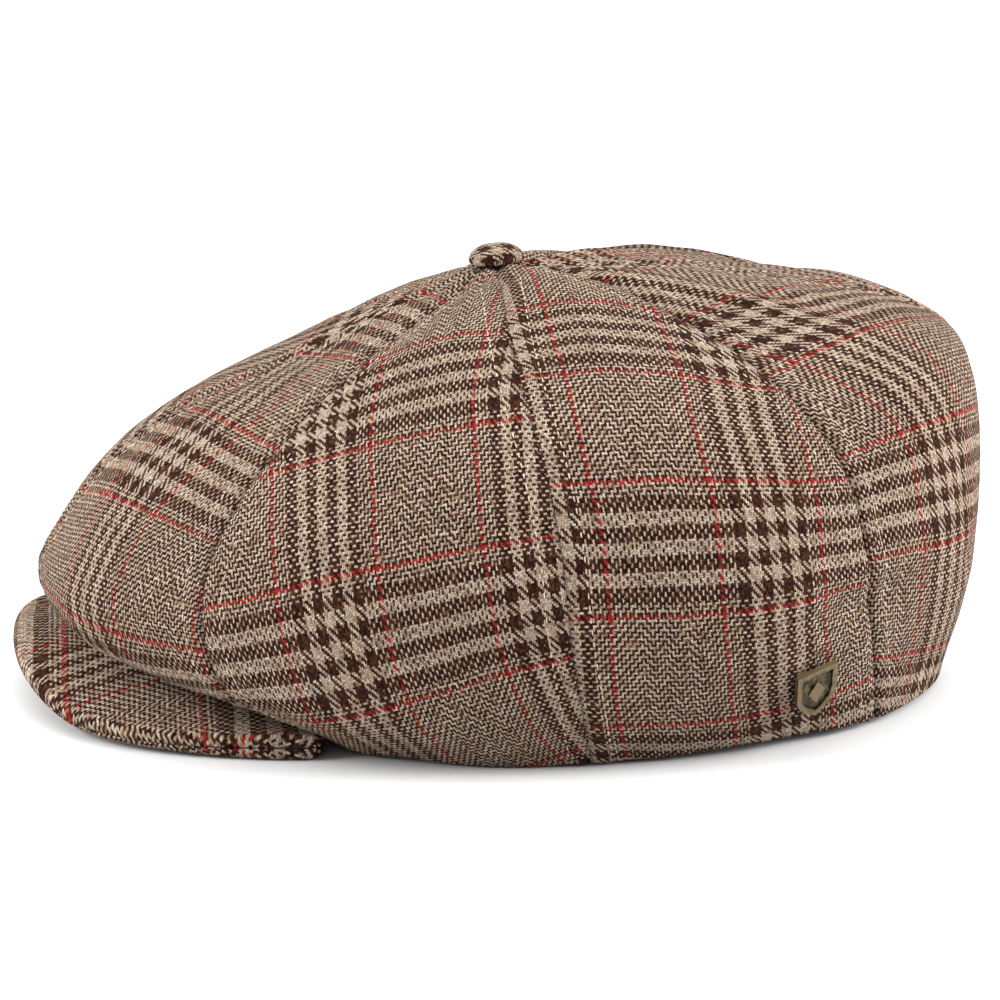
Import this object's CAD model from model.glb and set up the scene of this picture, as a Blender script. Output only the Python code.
"""Looks of the newsboy cap: checked wool cloth, seams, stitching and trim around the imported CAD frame."""
from math import cos, pi, radians, sin, sqrt

import bpy
import numpy as np
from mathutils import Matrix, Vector, noise


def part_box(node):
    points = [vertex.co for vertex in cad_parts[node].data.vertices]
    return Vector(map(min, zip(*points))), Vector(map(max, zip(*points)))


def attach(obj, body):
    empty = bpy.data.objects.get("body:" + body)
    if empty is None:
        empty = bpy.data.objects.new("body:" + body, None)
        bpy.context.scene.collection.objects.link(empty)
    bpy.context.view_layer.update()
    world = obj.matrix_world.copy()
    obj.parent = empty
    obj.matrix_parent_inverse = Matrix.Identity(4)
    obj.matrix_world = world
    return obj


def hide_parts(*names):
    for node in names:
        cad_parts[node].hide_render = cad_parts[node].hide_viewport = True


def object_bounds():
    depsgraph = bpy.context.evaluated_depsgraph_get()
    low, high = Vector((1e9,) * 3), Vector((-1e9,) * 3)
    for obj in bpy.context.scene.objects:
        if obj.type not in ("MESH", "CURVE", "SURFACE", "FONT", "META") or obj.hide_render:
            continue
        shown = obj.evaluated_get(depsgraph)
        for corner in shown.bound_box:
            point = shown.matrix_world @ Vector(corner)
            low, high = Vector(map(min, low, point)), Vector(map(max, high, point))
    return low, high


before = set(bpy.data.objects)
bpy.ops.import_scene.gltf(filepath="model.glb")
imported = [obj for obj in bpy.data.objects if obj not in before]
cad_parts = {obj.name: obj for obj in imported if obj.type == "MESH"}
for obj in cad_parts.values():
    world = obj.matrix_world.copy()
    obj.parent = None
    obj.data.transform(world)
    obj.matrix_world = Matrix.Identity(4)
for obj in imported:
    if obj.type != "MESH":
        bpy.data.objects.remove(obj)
CAD_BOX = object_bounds()

# ---------------------------------------------------------------- the crown's design, as in part.py
GRADE = 0.00096                 # metres to one pattern unit
BLOCK_SHIFT = 0.02629
SEAM_FRONT = ([0] * 9,
              [-27, -58, -87, -113, -137, -153, -160, -153, -120],
              [121, 109.5, 95, 84, 69, 49, 35.5, 26.5, 27.5])
SEAM_45 = ([0, 19, 36, 50, 61, 71, 76, 75, 65],
           [-27, -50, -71, -90, -104, -113, -115, -107, -86],
           [121, 110, 99.5, 84.5, 70, 54, 36, 17.5, 8])
SEAM_SIDE = ([0, 23, 46, 68, 88, 99, 103, 98.5, 88],
             [-27, -28, -29, -28, -25, -22, -20, -16, -12],
             [121, 117, 110, 99, 83, 63, 41, 19, 0.4])
SEAM_135 = ([0, 19, 37, 55, 70, 80, 84, 77, 64],
            [-27, -4, 14.5, 32, 46, 57.5, 63.5, 67.5, 72],
            [121, 119.5, 115, 106, 94.5, 78, 54, 27, 1])
SEAM_REAR = ([0] * 9,
             [-27, 4, 34.5, 64.5, 90, 107, 112.5, 110, 105],
             [121, 121, 118.5, 114, 109.5, 98, 65, 32, 1])
PUFF_MEAN, PUFF_FRONT = 1.9, 1.1
BUTTON_SLOPE, BUTTON_Y, BUTTON_Z = 0.09, -27, 121
FLAT_T = 0.07
BAND_H, BAND_T, BAND_INSET, BAND_LIFT = 0.030, 0.0012, 0.0034, 0.0010
ELASTIC_ARC = radians(22)       # half of the arc that the elastic takes at the back
PEAK_ARC = radians(50)          # the peak is sewn to the hem this far each way from the front
PEAK_HALF_W, PEAK_ROOT_Y, PEAK_REACH, PEAK_POWER = 75, -74, 93, 2.3
PEAK_FLOOR, PEAK_DROOP, PEAK_DROP = 3.5, 1.4, 5.2
PEAK_CREST_X, PEAK_CREST_Z, PEAK_CREST_W = -10, 15.5, 66
PEAK_HALF_T = 0.0024            # mid-surface to the outside of either cover
BUTTON_R, BUTTON_H, BUTTON_SEAT = 0.0076, 0.0050, 0.0009

# ---------------------------------------------------------------- cloth
CLOTH_T = 0.0009
BUTTON_WARP, BUTTON_WEFT = 0.497, 0.63      # mm between neighbouring yarns on the button
BUTTON_FIRST_WARP, BUTTON_FIRST_WEFT = 31, 28
PEAK_WARP_X, PEAK_WARP_PITCH, PEAK_WARP_LEAN = 13, 0.48, 0.12
PEAK_WEFT_Y, PEAK_WEFT_PITCH, PEAK_FIRST_WEFT = -84, 0.68, 54
SEAM_DIP, SEAM_DIP_W = 0.00055, 0.0012
STITCH_OFF = 0.0055             # a topstitched row lies this far from its seam
HEM_ROLL = 0.0016               # radius of the turned hem
HEM_LOW = 0.0032                # the hem hangs this much lower just behind the peak's ends
HEM_LOW_AT, HEM_LOW_W = 52, 8   # bearing of that place and its width, in degrees
FIRST_ROW = 0.012               # the gores start here, under the button
LAST_ROW = 0.992                # and turn inwards here, so that the roll ends level with the hem


# ================================================================ crown surface
def harmonic_fit():
    """Harmonics round the crown that pass through the five seams; each holds nine stations of t."""
    seams = [SEAM_FRONT, SEAM_45, SEAM_SIDE, SEAM_135, SEAM_REAR]
    k, m = np.arange(5), np.arange(1, 4)
    cos_fit = np.linalg.inv(np.cos(np.outer(k * pi / 4, k)))
    sin_fit = np.linalg.inv(np.sin(np.outer(m * pi / 4, m)))
    return (sin_fit @ np.array([s[0] for s in seams[1:4]], float),
            cos_fit @ np.array([s[1] for s in seams], float),
            cos_fit @ np.array([s[2] for s in seams], float))


COEF_X, COEF_Y, COEF_Z = harmonic_fit()


def along(coef, t):
    """Catmull-Rom value of every harmonic at t, 0 at the button and 1 at the hem."""
    ext = np.concatenate([2 * coef[:, :1] - coef[:, 1:2], coef,
                          2 * coef[:, -1:] - coef[:, -2:-1]], 1)
    u = np.clip(t * 8, 0, 8 - 1e-9)
    i = u.astype(int)
    f = u - i
    p0, p1, p2, p3 = (ext[:, i + q] for q in range(4))
    return 0.5 * (2 * p1 + (p2 - p0) * f + (2 * p0 - 5 * p1 + 4 * p2 - p3) * f * f
                  + (3 * p1 - p0 - 3 * p2 + p3) * f ** 3)


def block(theta, t):
    """The smooth crown in pattern units; theta is 0 at the front and pi at the rear."""
    theta, t = np.broadcast_arrays(np.asarray(theta, float), np.asarray(t, float))
    cx, cy, cz = along(COEF_X, t), along(COEF_Y, t), along(COEF_Z, t)
    x = sum(cx[j] * np.sin((j + 1) * theta) for j in range(3))
    y = sum(cy[j] * np.cos(j * theta) for j in range(5))
    z = sum(cz[j] * np.cos(j * theta) for j in range(5))
    w = np.minimum(t / FLAT_T, 1.0)
    w = w * w * (3 - 2 * w)
    plane = BUTTON_Z + BUTTON_SLOPE * (y - BUTTON_Y)
    return np.stack([x, y, plane + (z - plane) * w], -1)


def unit(v):
    return v / np.linalg.norm(v, axis=-1, keepdims=True)


def normal(theta, t, surface, e=0.002):
    """Outward normal of block or swollen."""
    a = surface(theta + e, t) - surface(theta - e, t)
    b = surface(theta, np.minimum(t + e, 1)) - surface(theta, np.maximum(t - e, 0.004))
    return unit(np.cross(b, a))


def swollen(theta, t):
    """The block with each gore a little puffed between its seams."""
    theta, t = np.broadcast_arrays(np.asarray(theta, float), np.asarray(t, float))
    swell = (np.sin(4 * theta) ** 2) ** 0.8 * (PUFF_MEAN - PUFF_FRONT * np.cos(theta))
    swell = swell * np.minimum(t / 0.12, 1) * np.clip((1 - t) / 0.15, 0, 1)
    return block(theta, t) + normal(theta, t, block) * swell[..., None]


def metres(p):
    return p * GRADE + np.array([0, BLOCK_SHIFT, 0])


def crown(theta, t, depth=0.0):
    """A point of the crown in metres, depth below its surface."""
    p = metres(swollen(theta, t))
    return p - normal(theta, t, swollen) * depth


def flatten(points, normals):
    """Unroll a gore (columns by rows) about its middle column.  Returns flat U and V in millimetres."""
    p = points * 1000
    cols, rows = p.shape[:2]
    mid = cols // 2
    step = np.linalg.norm(np.diff(p, axis=0), axis=2)
    tangent = unit(np.gradient(p, axis=0))
    turn = np.einsum("ijk,ijk->ij", np.cross(tangent[:-1], tangent[1:]),
                     0.5 * (normals[:-1] + normals[1:]))
    turn = -np.arcsin(np.clip(turn, -1, 1))
    u, v = np.zeros((cols, rows)), np.zeros((cols, rows))
    v[mid, 1:] = np.cumsum(np.linalg.norm(np.diff(p[mid], axis=0), axis=1))
    for sign in (1, -1):
        heading = np.zeros(rows)
        cells = range(mid, cols - 1) if sign > 0 else range(mid - 1, -1, -1)
        for i in cells:
            a, b = (i, i + 1) if sign > 0 else (i + 1, i)
            bearing = heading + sign * turn[i] / 2
            u[b] = u[a] + sign * step[i] * np.cos(bearing)
            v[b] = v[a] + sign * step[i] * np.sin(bearing)
            heading = heading + sign * turn[i]
    return u, v


# ================================================================ how each gore is cut from the cloth
# One entry for each pair of gores, front to rear, in millimetres on the flat cloth.  CUT_AT below the
# button the main red warp line passes `place` from the gore's middle; it turns and bows from there.
# The red weft line crosses the middle at `weft`, climbs across the gore, and fans out further down.
CUT_AT = 110
CUTS = [
    dict(place=-14.5, turn=0.16, bow=-0.0008, first=0, pitch=0.50, narrows=0.001,
         weft=153.5, weft_pitch=0.63, climb=0.0, fan=0.001),
    dict(place=-2, turn=0.13, bow=-0.0004, first=60, pitch=0.455, narrows=0.0,
         weft=116.5, weft_pitch=0.665, climb=-0.15, fan=-0.003),
    dict(place=1.5, turn=-0.17, bow=0.0012, first=0, pitch=0.50, narrows=0.0,
         weft=108, weft_pitch=0.65, climb=0.26, fan=-0.003),
    dict(place=-28, turn=0.02, bow=0.0, first=0, pitch=0.50, narrows=0.0,
         weft=136.5, weft_pitch=0.625, climb=0.36, fan=-0.003),
]
FAN_FROM, FAN_TO = -30, 70      # the fanning starts and stops this far from CUT_AT
NARROW_FROM, NARROW_OVER = 80, 70
WARP_HALF, WARP_MARGIN = 60, 8  # yarns from one red pair to the next, and from red to the bars
WEFT_HALF, WEFT_MARGIN = 54, 5
RED_PAIR = 2


def yarn_numbers(k, u, v):
    """Warp and weft yarn counts at flat positions of gore k; the right side mirrors the left."""
    mirrored = k > 3
    cut = CUTS[7 - k if mirrored else k]
    if mirrored:
        u = -u
    down = v - CUT_AT
    pitch = cut["pitch"] - cut["narrows"] * np.clip(v - NARROW_FROM, 0, NARROW_OVER)
    red_line = cut["place"] + cut["turn"] * down + cut["bow"] * down ** 2
    warp = (u - red_line) / pitch + cut["first"]
    climb = cut["climb"] + cut["fan"] * np.clip(down, FAN_FROM, FAN_TO)
    weft = (v - climb * u - cut["weft"]) / cut["weft_pitch"]
    if mirrored:
        warp = WARP_HALF + RED_PAIR - warp
    return warp, weft


# ================================================================ meshes
def new_object(name, verts, faces, mat, uvs=None, smooth=True):
    mesh = bpy.data.meshes.new(name)
    mesh.from_pydata([tuple(v) for v in np.asarray(verts, float)], [], faces)
    if uvs is not None:
        layer = mesh.uv_layers.new(name="yarns")
        corner = np.empty(len(mesh.loops), np.int32)
        mesh.loops.foreach_get("vertex_index", corner)
        layer.data.foreach_set("uv", np.asarray(uvs, float)[corner].ravel())
    if smooth:
        mesh.shade_smooth()
    mesh.materials.append(mat)
    obj = bpy.data.objects.new(name, mesh)
    bpy.context.collection.objects.link(obj)
    return obj


def grid_faces(n, m, start=0, flip=False):
    """Quads of an n by m grid of points, as index lists."""
    faces = []
    for i in range(n - 1):
        for j in range(m - 1):
            a = start + i * m + j
            quad = [a, a + m, a + m + 1, a + 1]
            faces.append(quad[::-1] if flip else quad)
    return faces


def cloth_grid(name, points, mat, uv=None, thick=CLOTH_T, flip=False):
    """A sheet of cloth over a grid of points, its thickness on the inner side."""
    n, m = points.shape[:2]
    uvs = None if uv is None else np.stack(uv, -1).reshape(-1, 2)
    obj = new_object(name, points.reshape(-1, 3), grid_faces(n, m, flip=flip), mat, uvs)
    wall = obj.modifiers.new("cloth", "SOLIDIFY")
    wall.thickness = thick
    wall.offset = -1
    return obj


def tubes(name, paths, radius, mat, sides=5, flat=1.0):
    """Short threads with rounded ends, all in one mesh.  A path is (points, normals)."""
    verts, faces = [], []
    for points, normals in paths:
        n = len(points)
        tangent = unit(np.gradient(points, axis=0))
        side = unit(np.cross(tangent, normals))
        up = np.cross(side, tangent)
        start = len(verts)
        for i in range(n):
            s = 2 * i / (n - 1) - 1
            r = radius * sqrt(max(1 - abs(s) ** 4, 0.09))
            for q in range(sides):
                a = 2 * pi * q / sides
                verts.append(points[i] + r * cos(a) * side[i] + r * sin(a) * flat * up[i])
        for i in range(n - 1):
            for q in range(sides):
                a, b = start + i * sides + q, start + i * sides + (q + 1) % sides
                faces.append([a, b, b + sides, a + sides])
        faces.append([start + q for q in reversed(range(sides))])
        faces.append([start + (n - 1) * sides + q for q in range(sides)])
    return new_object(name, verts, faces, mat)


# ================================================================ node helpers
class Num:
    """A number inside a node tree, so that shader arithmetic reads as arithmetic."""

    def __init__(self, tree, socket):
        self.tree, self.socket = tree, socket

    def op(self, kind, *others):
        node = self.tree.nodes.new("ShaderNodeMath")
        node.operation = kind
        for slot, value in zip(node.inputs, (self,) + others):
            if isinstance(value, Num):
                self.tree.links.new(value.socket, slot)
            else:
                slot.default_value = value
        return Num(self.tree, node.outputs[0])

    def __add__(self, other):
        return self.op("ADD", other)

    def __sub__(self, other):
        return self.op("SUBTRACT", other)

    def __mul__(self, other):
        return self.op("MULTIPLY", other)

    def __mod__(self, other):
        return self.op("FLOORED_MODULO", other)

    def __lt__(self, other):
        return self.op("LESS_THAN", other)

    def __gt__(self, other):
        return self.op("GREATER_THAN", other)

    def flip(self):
        return Num(self.tree, self.op("MULTIPLY_ADD", -1.0, 1.0).socket)

    def mix(self, low, high):
        """low where this is 0, high where it is 1."""
        node = self.tree.nodes.new("ShaderNodeMix")
        node.data_type = "FLOAT"
        self.tree.links.new(self.socket, node.inputs[0])
        for slot, value in ((node.inputs[2], low), (node.inputs[3], high)):
            if isinstance(value, Num):
                self.tree.links.new(value.socket, slot)
            else:
                slot.default_value = value
        return Num(self.tree, node.outputs[0])


def new_material(name, rough, metal=0.0, sheen=0.0, sheen_tint=(1, 1, 1), specular=0.5):
    mat = bpy.data.materials.new(name)
    mat.use_nodes = True
    shader = mat.node_tree.nodes["Principled BSDF"]
    shader.inputs["Roughness"].default_value = rough
    shader.inputs["Metallic"].default_value = metal
    shader.inputs["Specular IOR Level"].default_value = specular
    shader.inputs["Sheen Weight"].default_value = sheen
    shader.inputs["Sheen Roughness"].default_value = 0.6
    shader.inputs["Sheen Tint"].default_value = (*sheen_tint, 1)
    return mat, mat.node_tree, shader


def combine(tree, x, y, z=0.0):
    node = tree.nodes.new("ShaderNodeCombineXYZ")
    for slot, value in zip(node.inputs, (x, y, z)):
        if isinstance(value, Num):
            tree.links.new(value.socket, slot)
        else:
            slot.default_value = value
    return node.outputs[0]


def noise_at(tree, vector, scale, detail=2.0, rough=0.5):
    node = tree.nodes.new("ShaderNodeTexNoise")
    node.noise_dimensions = "3D"
    node.inputs["Scale"].default_value = scale
    node.inputs["Detail"].default_value = detail
    node.inputs["Roughness"].default_value = rough
    tree.links.new(vector, node.inputs["Vector"])
    return Num(tree, node.outputs["Fac"])


def white(tree, vector):
    node = tree.nodes.new("ShaderNodeTexWhiteNoise")
    node.noise_dimensions = "3D"
    tree.links.new(vector, node.inputs["Vector"])
    return Num(tree, node.outputs["Value"])


def ramp(tree, fac, stops, smooth=False):
    node = tree.nodes.new("ShaderNodeValToRGB")
    node.color_ramp.interpolation = "EASE" if smooth else "LINEAR"
    while len(node.color_ramp.elements) < len(stops):
        node.color_ramp.elements.new(0.5)
    for element, (at, colour) in zip(node.color_ramp.elements, stops):
        element.position = at
        element.color = (*colour, 1)
    tree.links.new(fac.socket, node.inputs["Fac"])
    return node.outputs["Color"]


def mix_colour(tree, fac, a, b, blend="MIX"):
    node = tree.nodes.new("ShaderNodeMix")
    node.data_type = "RGBA"
    node.blend_type = blend
    for slot, value in ((node.inputs[0], fac), (node.inputs[6], a), (node.inputs[7], b)):
        if isinstance(value, Num):
            tree.links.new(value.socket, slot)
        elif isinstance(value, (tuple, float, int)):
            slot.default_value = (*value, 1) if isinstance(value, tuple) else value
        else:
            tree.links.new(value, slot)
    return node.outputs[2]


def bump(tree, shader, height, distance, strength=1.0):
    node = tree.nodes.new("ShaderNodeBump")
    node.inputs["Strength"].default_value = strength
    node.inputs["Distance"].default_value = distance
    tree.links.new(height.socket, node.inputs["Height"])
    tree.links.new(node.outputs["Normal"], shader.inputs["Normal"])


def object_point(tree):
    return tree.nodes.new("ShaderNodeTexCoord").outputs["Object"]


def split(tree, vector):
    node = tree.nodes.new("ShaderNodeSeparateXYZ")
    tree.links.new(vector, node.inputs[0])
    return [Num(tree, s) for s in node.outputs]


# ================================================================ tweed
CREAM = [(0.12, (0.165, 0.098, 0.064)), (0.5, (0.305, 0.236, 0.177)), (0.88, (0.43, 0.362, 0.285))]
BROWN = [(0.12, (0.007, 0.002, 0.0015)), (0.5, (0.025, 0.0075, 0.004)), (0.88, (0.072, 0.027, 0.016))]
CRIMSON = [(0.2, (0.13, 0.008, 0.009)), (0.75, (0.31, 0.016, 0.015))]
OCHRE, INK = (0.40, 0.27, 0.10), (0.045, 0.035, 0.065)
STRIPE, STRIPES_LONG = 6, 42    # yarns in one bar, and in the whole group of seven bars
TURN_FIRST, TURN_YARNS, TURNS = 77, 6, 5    # first yarn turned back, yarns each way, and stretches
TWILL = 4                       # yarns in one twill repeat
TWEED_SHEEN = (0.9, 0.76, 0.64)


def yarn_kind(number, half, margin):
    """(dark?, red?) of a yarn.  Red pairs stand half a repeat apart, with bars in every other gap."""
    at = number % (2.0 * half)
    fine = at % 2.0
    bar_at = at - float(RED_PAIR + margin)
    barred = (bar_at > -0.5) * (bar_at < STRIPES_LONG - 0.5)
    bars = (bar_at % (2.0 * STRIPE)) < STRIPE - 0.5
    dark = barred.mix(fine, bars)
    red = (number % float(half)) < RED_PAIR - 0.5
    return dark, red


def tweed_material():
    """A 2/2 twill with bars of six dark and six light yarns, one-and-one ground and red overchecks."""
    mat, tree, shader = new_material("tweed", 0.95, sheen=0.02, sheen_tint=TWEED_SHEEN, specular=0.03)
    uv = tree.nodes.new("ShaderNodeUVMap")
    uv.uv_map = "yarns"
    place = object_point(tree)
    u0, v0, _ = split(tree, uv.outputs[0])
    drift_u = noise_at(tree, place, 55.0, 2.0) - 0.5
    drift_v = noise_at(tree, combine(tree, *[c + 3.7 for c in split(tree, place)]), 55.0, 2.0) - 0.5
    shake = noise_at(tree, uv.outputs[0], 0.8, 1.0) - 0.5
    fuzz_u = noise_at(tree, combine(tree, u0, v0, 11.0), 3.1, 2.0) - 0.5
    fuzz_v = noise_at(tree, combine(tree, u0, v0, 23.0), 3.1, 2.0) - 0.5
    u = u0 + drift_u * 3.0 + shake * 0.9 + fuzz_u * 0.85
    v = v0 + drift_v * 2.6 + shake * 0.8 + fuzz_v * 0.85
    i, j = u.op("FLOOR"), v.op("FLOOR")
    fu, fv = u.op("FRACT"), v.op("FRACT")

    # in the plain ground the twill turns back and forward again every six warp yarns
    at = i % (2.0 * WARP_HALF)
    turn = (at - float(TURN_FIRST)) % (2.0 * TURN_YARNS)
    point = (at > TURN_FIRST - 0.5) * (at < TURN_FIRST + TURN_YARNS * TURNS - 0.5)
    order = point.mix(at, (turn - (TURN_YARNS - 1.0)).op("ABSOLUTE") + 2.0)
    back = point * (turn < TURN_YARNS - 0.5)
    step = (order - j) % float(TWILL)
    warp_up = step < 1.5
    run_warp = (step.flip() + fv) * 0.5
    run_weft = (back.mix(step - 2.0, step * -1.0 + 3.0) + fu) * 0.5
    run = warp_up.mix(run_weft, run_warp)
    across = warp_up.mix(fv, fu)
    over = (across * 2.0 - 1.0).op("ABSOLUTE")
    end = (run * 2.0 - 1.0).op("ABSOLUTE")
    crest = (over * over).flip().op("SQRT")
    height = crest * (end.op("POWER", 3.0) * 0.55).flip()

    dark_warp, red_warp = yarn_kind(i, WARP_HALF, WARP_MARGIN)
    dark_weft, red_weft = yarn_kind(j, WEFT_HALF, WEFT_MARGIN)
    dark = warp_up.mix(dark_weft, dark_warp)
    red = warp_up.mix(red_weft, red_warp)

    slub_warp = noise_at(tree, combine(tree, i * 1.7, v * 0.16), 1.0, 2.0)
    slub_weft = noise_at(tree, combine(tree, u * 0.16, j * 1.7, 9.0), 1.0, 2.0)
    tone = warp_up.mix(slub_weft, slub_warp)
    cell = white(tree, combine(tree, i, j, 0.5))
    shade = (tone - 0.5) * 1.7 + (cell - 0.5) * 0.5 + 0.5
    cream = ramp(tree, shade, CREAM)
    brown = ramp(tree, shade, BROWN)
    crimson = ramp(tree, shade, CRIMSON)
    colour = mix_colour(tree, dark, cream, brown)
    colour = mix_colour(tree, red, colour, crimson)

    fleck = white(tree, combine(tree, i, j, 7.5))
    colour = mix_colour(tree, (fleck > 0.975) * 0.4, colour, OCHRE)
    colour = mix_colour(tree, (fleck < 0.02) * 0.45, colour, INK)
    fibre = noise_at(tree, combine(tree, u * 2.2, v * 2.2, 4.0), 1.0, 3.0, 0.7)
    worn = noise_at(tree, place, 30.0, 3.0)
    gain = (height * 0.62 + 0.42) * (fibre * 0.5 + 0.78) * (worn * 0.34 + 0.83)
    grey = combine(tree, gain, gain, gain)
    colour = mix_colour(tree, 1.0, colour, grey, "MULTIPLY")
    tree.links.new(colour, shader.inputs["Base Color"])
    bump(tree, shader, height + fibre * 0.5, 0.00022, 0.9)
    return mat


# ================================================================ trim materials
def satin_material():
    mat, tree, shader = new_material("satin", 0.36, sheen=0.25, sheen_tint=(0.9, 0.7, 0.6))
    place = object_point(tree)
    tone = noise_at(tree, place, 60.0, 4.0)
    colour = ramp(tree, tone, [(0.3, (0.030, 0.018, 0.016)), (0.7, (0.062, 0.038, 0.032))])
    tree.links.new(colour, shader.inputs["Base Color"])
    x, y, z = split(tree, place)
    ribs = ((x + y) * 5200.0).op("SINE") * 0.5 + (z * 6400.0).op("SINE") * 0.5
    bump(tree, shader, ribs + tone * 6.0, 0.00006)
    return mat


def ribbed_material(name, colours, pitch, rough, depth):
    """Ribbed webbing: cords stand upright, pitch metres apart along UV's first axis."""
    mat, tree, shader = new_material(name, rough, sheen=0.2)
    uv = tree.nodes.new("ShaderNodeUVMap")
    uv.uv_map = "yarns"
    u, v, _ = split(tree, uv.outputs[0])
    cord = ((u * (2 * pi / pitch)).op("SINE") * 0.5 + 0.5).op("SQRT")
    pick = (v * (2 * pi / (pitch * 0.8))).op("SINE") * 0.5 + 0.5
    tone = noise_at(tree, combine(tree, u * 900.0, v * 120.0), 1.0, 3.0)
    shade = cord * 0.5 + pick * 0.12 + tone * 0.4
    colour = ramp(tree, shade, [(0.15, colours[0]), (0.9, colours[1])])
    tree.links.new(colour, shader.inputs["Base Color"])
    bump(tree, shader, cord + pick * 0.3, depth)
    return mat


def metal_material(name, dark, light, rough, wear_scale=900.0):
    """Brushed, slightly tarnished metal: dull in the hollows and bright where hands rub it."""
    mat, tree, shader = new_material(name, rough, metal=1.0)
    place = object_point(tree)
    patina = noise_at(tree, place, wear_scale, 5.0, 0.65)
    geometry = tree.nodes.new("ShaderNodeNewGeometry")
    edge = Num(tree, geometry.outputs["Pointiness"])
    worn = (edge - 0.5) * 2.5 + patina
    tree.links.new(ramp(tree, worn, [(0.35, dark), (0.72, light)]), shader.inputs["Base Color"])
    tree.links.new((patina * 0.3 + (rough - 0.12)).socket, shader.inputs["Roughness"])
    bump(tree, shader, patina, 0.00004)
    return mat


def thread_material():
    mat, tree, shader = new_material("thread", 0.7, sheen=0.3)
    tone = noise_at(tree, object_point(tree), 700.0, 3.0)
    colour = ramp(tree, tone, [(0.3, (0.30, 0.22, 0.15)), (0.7, (0.56, 0.45, 0.32))])
    tree.links.new(colour, shader.inputs["Base Color"])
    bump(tree, shader, tone, 0.00008)
    return mat


def board_material():
    mat, tree, shader = new_material("board", 0.6)
    tone = noise_at(tree, object_point(tree), 400.0, 4.0)
    colour = ramp(tree, tone, [(0.3, (0.52, 0.50, 0.45)), (0.7, (0.66, 0.64, 0.58))])
    tree.links.new(colour, shader.inputs["Base Color"])
    bump(tree, shader, tone, 0.00006)
    return mat


def label_material():
    mat, tree, shader = new_material("label", 0.75, sheen=0.15)
    x, _, z = split(tree, object_point(tree))
    weave = (x * 9000.0).op("SINE") * (z * 9000.0).op("SINE")
    tone = noise_at(tree, object_point(tree), 300.0, 3.0)
    shade = tone * 0.7 + weave * 0.1
    colour = ramp(tree, shade, [(0.2, (0.46, 0.40, 0.31)), (0.6, (0.64, 0.58, 0.47))])
    tree.links.new(colour, shader.inputs["Base Color"])
    bump(tree, shader, weave, 0.00005)
    return mat


TWEED = tweed_material()
SATIN = satin_material()
BAND = ribbed_material("band", [(0.045, 0.030, 0.024), (0.14, 0.105, 0.085)], 0.0011, 0.8, 0.00022)
ELASTIC = ribbed_material("elastic", [(0.018, 0.014, 0.013), (0.075, 0.06, 0.052)], 0.0018, 0.85, 0.0004)
STEEL = metal_material("steel", (0.16, 0.15, 0.14), (0.42, 0.40, 0.37), 0.38)
BRASS = metal_material("brass", (0.030, 0.022, 0.013), (0.21, 0.165, 0.092), 0.38, 700.0)
THREAD = thread_material()
BOARD = board_material()
LABEL = label_material()


def finish_piece(obj, body, slot, *nodes):
    """Every new piece rides on a body, names its slot and stands for its CAD nodes."""
    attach(obj, body)
    if nodes:
        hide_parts(*nodes)
    return obj


def flat_size(u, v):
    """(width, length, area) in metres of a piece of cloth laid out flat at U, V in millimetres."""
    width = (u.max() - u.min()) / 1000
    length = (v.max() - v.min()) / 1000
    a = np.stack([u, v], -1)
    d1, d2 = a[1:, 1:] - a[:-1, :-1], a[1:, :-1] - a[:-1, 1:]
    area = np.abs(d1[..., 0] * d2[..., 1] - d1[..., 1] * d2[..., 0]).sum() / 2e6
    return width, length, area


# ================================================================ crown
GORES = ["panel_front_left", "panel_side_front_left", "panel_side_rear_left", "panel_rear_left",
         "panel_rear_right", "panel_side_rear_right", "panel_side_front_right", "panel_front_right"]
COLS, ROWS = 49, 121


def bell(x, centre, width):
    return np.exp(-((x - centre) / width) ** 2)


def soft_noise(points, size, seed):
    """Smooth noise, about -1 to 1, at points in metres, with lumps of about size."""
    flat = points.reshape(-1, 3) / size + seed
    return np.array([noise.noise(Vector(p)) for p in flat]).reshape(points.shape[:-1])


# Soft folds, the same on both sides.  Each end is a bearing in degrees from the front and the share
# of the way down from the button to the hem; then come the width and how far the fold stands out.
FOLDS = [((170, 0.05), (160, 0.40), 0.0065, -0.0034),
         ((105, 0.05), (155, 0.45), 0.0060, 0.0026),
         ((120, 0.80), (150, 0.80), 0.0060, -0.0016),
         ((125, 0.75), (155, 0.80), 0.0070, 0.0014),
         ((70, 0.85), (50, 0.85), 0.0080, 0.0012),
         ((95, 0.95), (125, 0.95), 0.0070, 0.0015)]


def crease(points, a, b, width, depth):
    """A soft fold: how far the cloth stands out near the line from a to b."""
    along_line = np.clip(((points - a) @ (b - a)) / ((b - a) @ (b - a)), 0, 1)
    d = np.linalg.norm(points - (a + along_line[..., None] * (b - a)), axis=-1)
    return depth * np.exp(-(d / width) ** 2) * np.sin(pi * np.clip(along_line, 0.08, 0.92))


def cloth_relief(points, edge):
    """How far the outer cloth stands off the block: seams, stitch lines, folds and lumps."""
    relief = -SEAM_DIP * bell(edge, 0, SEAM_DIP_W)
    relief = relief + 0.00035 * bell(edge, 0.0033, 0.0019)
    relief = relief - 0.00018 * bell(edge, STITCH_OFF, 0.0007)
    relief = relief + 0.0009 * soft_noise(points, 0.034, 3.1) + 0.0005 * soft_noise(points, 0.013, 8.4)
    pucker = soft_noise(points, 0.006, 1.7)
    relief = relief + 0.00025 * pucker * bell(edge, 0.002, 0.004)
    for sign in (1, -1):
        for start, stop, width, depth in FOLDS:
            a, b = (crown(radians(sign * bearing), share) for bearing, share in (start, stop))
            relief = relief + crease(points, a, b, width, depth)
    return relief


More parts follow.
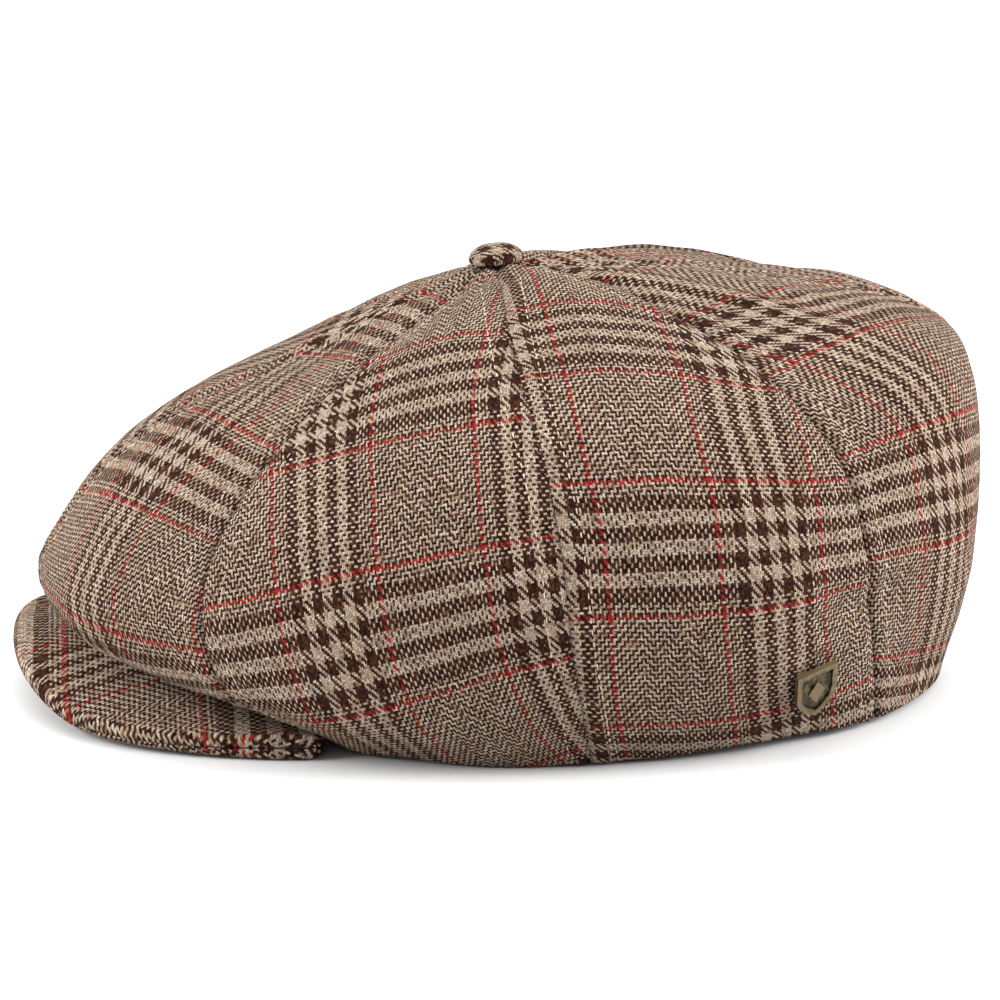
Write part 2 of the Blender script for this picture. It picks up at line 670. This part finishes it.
def gore_grid(k):
    """Everything that the gore's cloth and stitches need, on a grid of columns by rows."""
    theta = np.linspace(k * pi / 4, (k + 1) * pi / 4, COLS)[:, None]
    t = np.linspace(FIRST_ROW, LAST_ROW, ROWS)[None, :]
    theta, t = np.broadcast_arrays(theta, t)
    base, out = crown(theta, t), normal(theta, t, swollen)
    u, v = flatten(base, out)
    edge = np.minimum(u - u[0], u[-1] - u) / 1000
    cloth = base + out * cloth_relief(base, edge)[..., None]
    bearing = np.degrees(np.minimum(theta, 2 * pi - theta))
    cloth[..., 2] -= HEM_LOW * bell(bearing, HEM_LOW_AT, HEM_LOW_W) * np.clip((t - 0.88) / 0.12, 0, 1) ** 2
    return dict(u=u, v=v, edge=edge, cloth=cloth, out=out)


def with_hem(grid, steps=9, tail=0.0035):
    """Carry the gore on round its turned hem and up a little way inside."""
    cloth, out, u, v = (grid[n] for n in ("cloth", "out", "u", "v"))
    down = unit(cloth[:, -1] - cloth[:, -2])
    normal_out = out[:, -1]
    rings, us, vs = [cloth], [u], [v]
    length = 0.0
    for s in range(1, steps + 1):
        a = pi * s / steps
        ring = cloth[:, -1] - normal_out * HEM_ROLL * (1 - cos(a)) + down * HEM_ROLL * sin(a)
        rings.append(ring[:, None])
        length += HEM_ROLL * pi / steps * 1000
        us.append(u[:, -1:])
        vs.append(v[:, -1:] + length)
    inside = rings[-1] - down[:, None] * tail
    rings.append(inside)
    us.append(u[:, -1:])
    vs.append(v[:, -1:] + length + tail * 1000)
    return np.concatenate(rings, 1), np.concatenate(us, 1), np.concatenate(vs, 1)


def stitch_row(grid, sign, pitch=0.0031, length=0.0022, sink=0.00005):
    """Threads of one topstitched row, beside the gore's first or last seam."""
    cloth, out, edge = grid["cloth"], grid["out"], grid["edge"]
    mid = COLS // 2
    columns = np.arange(0, mid + 1) if sign < 0 else np.arange(COLS - 1, mid - 1, -1)
    route, normals = [], []
    for row in range(edge.shape[1]):
        widths = edge[columns, row]
        if widths[-1] < STITCH_OFF * 1.25:
            continue
        at = np.interp(STITCH_OFF, widths, np.arange(len(columns)))
        i, f = int(at), at - int(at)
        a, b = columns[i], columns[min(i + 1, mid)]
        route.append(cloth[a, row] * (1 - f) + cloth[b, row] * f)
        normals.append(out[a, row])
    route, normals = np.array(route), np.array(normals)
    run = np.concatenate([[0], np.cumsum(np.linalg.norm(np.diff(route, axis=0), axis=1))])
    paths = []
    for start in np.arange(0.001, run[-1] - length, pitch):
        s = np.linspace(start, start + length, 5)
        p = np.stack([np.interp(s, run, route[:, c]) for c in range(3)], 1)
        n = np.stack([np.interp(s, run, normals[:, c]) for c in range(3)], 1)
        bow = np.array([-0.00022, 0.00004, 0.0001, 0.00004, -0.00022]) - sink
        paths.append((p + n * bow[:, None], n))
    return paths


def build_crown():
    stitches, gores = [], []
    for k, name in enumerate(GORES):
        grid = gore_grid(k)
        points, u, v = with_hem(grid)
        gore = cloth_grid("cloth_" + name[6:], points, TWEED, yarn_numbers(k, u, v), flip=True)
        finish_piece(gore, "crown", "tweed", name)
        gores.append((gore, flat_size(u, v)))
        stitches += stitch_row(grid, -1) + stitch_row(grid, 1)
    rows = finish_piece(tubes("topstitching", stitches, 0.00019, THREAD, flat=0.75), "crown", "tweed")
    for n, (gore, (width, length, area)) in enumerate(gores):
        [rows] if n == 0 else []


# ================================================================ inside of the crown
LINING_DEEP, LINING_HEM = 0.0034, 0.0022    # how far inside the crown's surface the lining hangs
LINING_FIRST, LINING_LAST = 0.05, 0.975


def lining_depth(t):
    return LINING_DEEP + (LINING_HEM - LINING_DEEP) * np.clip((t - 0.87) / 0.13, 0, 1)


def build_lining():
    names = ["lining_front_left", "lining_rear_left", "lining_rear_right", "lining_front_right"]
    for k, name in enumerate(names):
        theta = np.linspace(k * pi / 2, (k + 1) * pi / 2, 41)[:, None]
        t = np.linspace(LINING_FIRST, LINING_LAST, 71)[None, :]
        theta, t = np.broadcast_arrays(theta, t)
        base, out = crown(theta, t), normal(theta, t, swollen)
        u, v = flatten(base, out)
        edge = np.minimum(u - u[0], u[-1] - u) / 1000
        slack = np.clip(soft_noise(base, 0.022, 5.5), -0.6, 1) * np.clip((0.97 - t) / 0.1, 0, 1)
        depth = lining_depth(t) + 0.0004 * bell(edge, 0, 0.0015) + 0.0005 * slack
        piece = cloth_grid("satin_" + name[7:], base - out * depth[..., None], SATIN,
                           thick=0.0004, flip=True)
        finish_piece(piece, "crown", "satin", name)
        width, length, area = flat_size(u, v)


def hem_line(theta):
    """Points of the crown's hem and the level direction out of it."""
    hem = np.ones_like(theta)
    p = metres(block(theta, hem))
    d = metres(block(theta + 0.01, hem)) - metres(block(theta - 0.01, hem))
    out = unit(np.stack([d[..., 1], -d[..., 0], 0 * d[..., 0]], -1))
    return p, out


BAND_GAP = 0.006                # radians between the sweatband's ends and the elastic


def band_piece(name, node, start, stop, cols, mat, slot, ruck=0.0, ruck_pitch=0.0045):
    """A strip of webbing standing inside the hem.  ruck gathers it into small upright puckers."""
    theta = np.linspace(start, stop, cols)
    p, out = hem_line(theta)
    run = np.concatenate([[0], np.cumsum(np.linalg.norm(np.diff(p, axis=0), axis=1))])
    rows = np.linspace(0, 1, 15)
    wave = ruck * np.sin(2 * pi * run / ruck_pitch)
    sheet = []
    for h in rows:
        roll = 0.0003 * (abs(2 * h - 1) ** 8)
        depth = BAND_INSET + 0.0012 * h + roll + wave * sin(pi * h) ** 0.5
        sheet.append(p - out * depth[:, None] + np.array([0, 0, BAND_LIFT + BAND_H * h]))
    points = np.stack(sheet, 1)
    uv = np.broadcast_arrays(run[:, None], (rows * BAND_H)[None, :])
    piece = cloth_grid(name, points, mat, uv, thick=BAND_T - 0.0002)
    finish_piece(piece, "crown", slot, node)
    return piece


def build_sweatband():
    reach = pi - ELASTIC_ARC - BAND_GAP
    band_piece("sweatband_web", "sweatband", -reach, reach, 241, BAND, "band")
    band_piece("elastic_web", "elastic_back", pi - ELASTIC_ARC, pi + ELASTIC_ARC, 181,
               ELASTIC, "elastic", ruck=0.00035)


# ================================================================ peak
def peak_mid(u, v):
    """Mid-surface in pattern units: u runs -1 to 1 across, v from the hem (0) to the edge (1)."""
    theta = u * PEAK_ARC
    root = block(theta, np.ones_like(theta)) - np.array([0, 0, PEAK_DROP])
    root[..., 2] = np.maximum(root[..., 2], PEAK_FLOOR)
    a = u * pi / 2
    s, c = np.abs(np.sin(a)), np.maximum(np.cos(a), 0.0)
    x = PEAK_HALF_W * s ** (2 / PEAK_POWER) * np.sign(u)
    y = PEAK_ROOT_Y - PEAK_REACH * c ** (2 / PEAK_POWER)
    rise = PEAK_CREST_Z * (1 - ((x - PEAK_CREST_X) / PEAK_CREST_W) ** 2) - PEAK_FLOOR
    edge = np.stack([x, y, PEAK_FLOOR + 0.5 * (rise + np.hypot(rise, 3.0))], -1)
    p = root + (edge - root) * v[..., None]
    p[..., 2] = root[..., 2] + (edge[..., 2] - root[..., 2]) * v ** PEAK_DROOP
    return p


def peak(u, v):
    """Mid-surface of the peak in metres, its upward normal and its outward direction."""
    e = 0.01
    p = metres(peak_mid(u, v))
    a = metres(peak_mid(np.minimum(u + e, 1), v)) - metres(peak_mid(np.maximum(u - e, -1), v))
    b = metres(peak_mid(u, np.minimum(v + e, 1))) - metres(peak_mid(u, np.maximum(v - e, 0)))
    n = unit(np.cross(a, b))
    return p, n * np.where(n[..., 2:] < 0, -1, 1), unit(b)


def rounded(x, start, stop):
    """1 up to start, then a quarter round down to 0 at stop."""
    return np.sqrt(np.clip(1 - (np.clip(x - start, 0, 1) / (stop - start)) ** 2, 0, 1))


def peak_cover(name, node, side):
    """One cover of the peak, from the hem out to the seam round its edge."""
    end = 0.95 - 0.02 * np.linspace(0, 1, 5, endpoint=False) ** 2
    u = np.concatenate([-end, np.linspace(-0.93, 0.93, 121), end[::-1]])
    v = np.concatenate([np.linspace(0, 0.93, 40), 0.93 + 0.07 * np.sin(np.linspace(0.12, 1, 9) * pi / 2)])
    u, v = np.broadcast_arrays(u[:, None], v[None, :])
    mid, n, outward = peak(u, v)
    round_off = rounded(v, 0.955, 1.0) * rounded(np.abs(u), 0.925, 0.951)
    lift = 0.0002 + (PEAK_HALF_T - 0.0002) * round_off
    lift = lift + 0.00025 * soft_noise(mid, 0.02, 2.2 + side) - 0.0003 * bell(v, 0.9, 0.008)
    points = mid + n * (side * lift)[..., None]
    steps = np.diff(points, axis=1)
    extra = np.linalg.norm(steps, axis=2) - np.linalg.norm(steps[..., :2], axis=2)
    extra = np.concatenate([np.zeros((len(mid), 1)), np.cumsum(extra, axis=1)], 1)[..., None]
    flat = (points[..., :2] + unit(outward[..., :2]) * extra) * 1000
    lean = PEAK_WARP_LEAN * (flat[..., 1] - PEAK_WEFT_Y)
    warp = (flat[..., 0] - PEAK_WARP_X + lean) / PEAK_WARP_PITCH
    weft = (PEAK_WEFT_Y - flat[..., 1]) / PEAK_WEFT_PITCH + PEAK_FIRST_WEFT
    cover = cloth_grid(name, points, TWEED, (warp, weft), flip=side < 0)
    finish_piece(cover, "peak", "tweed_peak", node)
    width, length, area = flat_size(flat[..., 0], flat[..., 1])


def build_peak():
    peak_cover("peak_cloth_top", "peak_top_cover", 1)
    peak_cover("peak_cloth_under", "peak_under_cover", -1)


def build_button():
    """A covered button: cloth gathered over a domed core, with a ring of small tucks below."""
    up = Vector((0, -BUTTON_SLOPE, 1)).normalized()
    seat = Vector(metres(block(0.0, 0.0))) + up * BUTTON_SEAT
    side = Vector((1, 0, 0))
    front = up.cross(side)
    profile = [(0.0, 1.0), (0.2, 0.99), (0.4, 0.955), (0.6, 0.88), (0.78, 0.75), (0.9, 0.60),
               (0.97, 0.44), (1.0, 0.28), (0.985, 0.13), (0.93, 0.03), (0.84, 0.0), (0.7, 0.02)]
    spokes = 96
    verts, uvs = [], []
    for r, h in profile:
        for q in range(spokes):
            a = 2 * pi * q / spokes
            tuck = 1 - 0.035 * max(0.0, 1 - h) ** 2 * (0.5 + 0.5 * cos(14 * a))
            x, y = r * tuck * BUTTON_R * cos(a), r * tuck * BUTTON_R * sin(a)
            verts.append(seat + side * x + front * y + up * (h * BUTTON_H))
            flat = BUTTON_R * (r + (1 - h) * 0.5) * 1000
            uvs.append((flat * cos(a) / BUTTON_WARP + BUTTON_FIRST_WARP,
                        flat * sin(a) / BUTTON_WEFT + BUTTON_FIRST_WEFT))
    faces = []
    for i in range(len(profile) - 1):
        for q in range(spokes):
            a, b = i * spokes + q, i * spokes + (q + 1) % spokes
            faces.append([a, a + spokes, b + spokes, b])
    cover = new_object("button_cloth", verts, faces, TWEED, uvs)
    wall = cover.modifiers.new("cloth", "SOLIDIFY")
    wall.thickness, wall.offset = 0.0007, -1
    finish_piece(cover, "crown", "tweed", "button_cover")


def repaint(mat, *nodes):
    """Give CAD nodes that stay in sight a better material."""
    for name in nodes:
        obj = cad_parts[name]
        for slot in obj.material_slots:
            slot.material = mat


def build_trim():
    repaint(STEEL, "button_core", "button_back", "snap_socket", "snap_cap", "snap_stud", "badge_back")
    repaint(BRASS, "badge_plate")
    repaint(BOARD, "peak_board")
    repaint(LABEL, "inner_label")
    build_label_stitches()


LABEL_HALF_ARC = radians(15.6)


def build_label_stitches():
    """Short hand stitches that hold the label's two ends to the lining."""
    low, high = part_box("inner_label")
    shares = np.linspace(0.4, 0.95, 40)
    heights = [-metres(block(pi, share))[2] for share in shares]
    paths = []
    for row in np.linspace(0.02, 0.98, 9):
        for sign in (-1, 1):
            z = low[2] + (high[2] - low[2]) * row
            t = np.interp(-z, heights, shares)
            theta = pi + sign * LABEL_HALF_ARC
            p, n = crown(theta, t, 0.0047), -normal(theta, t, swollen)
            tangent = unit(crown(theta + 0.01, t) - crown(theta - 0.01, t))
            s = np.linspace(-1, 1, 5)[:, None] * 0.0011
            bow = 0.0003 * (1 - np.linspace(-1, 1, 5) ** 2)[:, None]
            paths.append((p + tangent * s + n * bow, np.repeat(n[None], 5, 0)))
    finish_piece(tubes("label_stitches", paths, 0.00018, THREAD), "crown", "label")


# ================================================================ stage, lights and camera
CAMERA_TARGET = Vector((0, 0.00133, 0.048))
CAMERA_AZ, CAMERA_EL, CAMERA_FAR = radians(83), radians(15), 0.864
CAMERA_LENS, CAMERA_SENSOR, CAMERA_SHIFT = 110.8, 36, 0.004
FLOOR_HALF, FLOOR_GAP, FLOOR_GREY = 4, 0.0002, 0.6
LIGHT_SIZE, LIGHT_AIM = 0.8, (0, 0, 0.05)
SKY = [(0.0, 1.1), (0.10, 1.1), (0.14, 0.10), (0.4, 0.28), (1.0, 3.3)]     # brightness by height


def aim(obj, target):
    obj.rotation_euler = (Vector(target) - obj.location).to_track_quat("-Z", "Y").to_euler()


def build_camera():
    cam = bpy.data.cameras.new("camera")
    cam.lens = CAMERA_LENS
    cam.sensor_width = CAMERA_SENSOR
    cam.shift_y = CAMERA_SHIFT
    obj = bpy.data.objects.new("camera", cam)
    bpy.context.collection.objects.link(obj)
    back = Vector((sin(CAMERA_AZ) * cos(CAMERA_EL), -cos(CAMERA_AZ) * cos(CAMERA_EL), sin(CAMERA_EL)))
    obj.location = CAMERA_TARGET + back * CAMERA_FAR
    aim(obj, CAMERA_TARGET)
    bpy.context.scene.camera = obj


def area_light(name, place, power):
    light = bpy.data.lights.new(name, "AREA")
    light.size = LIGHT_SIZE
    light.energy = power
    obj = bpy.data.objects.new(name, light)
    obj.location = place
    bpy.context.collection.objects.link(obj)
    aim(obj, LIGHT_AIM)


def build_stage():
    floor_mat, _, shader = new_material("floor", 0.9, specular=0.1)
    shader.inputs["Base Color"].default_value = (FLOOR_GREY, FLOOR_GREY, FLOOR_GREY, 1)
    z = CAD_BOX[0][2] - FLOOR_GAP
    corners = [(x * FLOOR_HALF, y * FLOOR_HALF, z) for x, y in ((-1, -1), (1, -1), (1, 1), (-1, 1))]
    floor = new_object("floor", corners, [[0, 1, 2, 3]], floor_mat, smooth=False)
    area_light("front", (0.10, -1.30, 0.62), 28)
    area_light("rear", (0.22, 1.35, 0.60), 37)
    world = bpy.data.worlds.new("studio")
    world.use_nodes = True
    tree = world.node_tree
    sky = tree.nodes["Background"]
    sky.inputs["Strength"].default_value = 1.0
    height = split(tree, object_point(tree))[2]
    brightness = ramp(tree, height, [(at, (level, level, level)) for at, level in SKY])
    tree.links.new(brightness, sky.inputs["Color"])
    bpy.context.scene.world = world
    bpy.context.scene.view_settings.view_transform = "Standard"


# ================================================================ assembly
build_camera()
build_stage()
build_crown()
build_lining()
build_sweatband()
build_peak()
build_button()
build_trim()
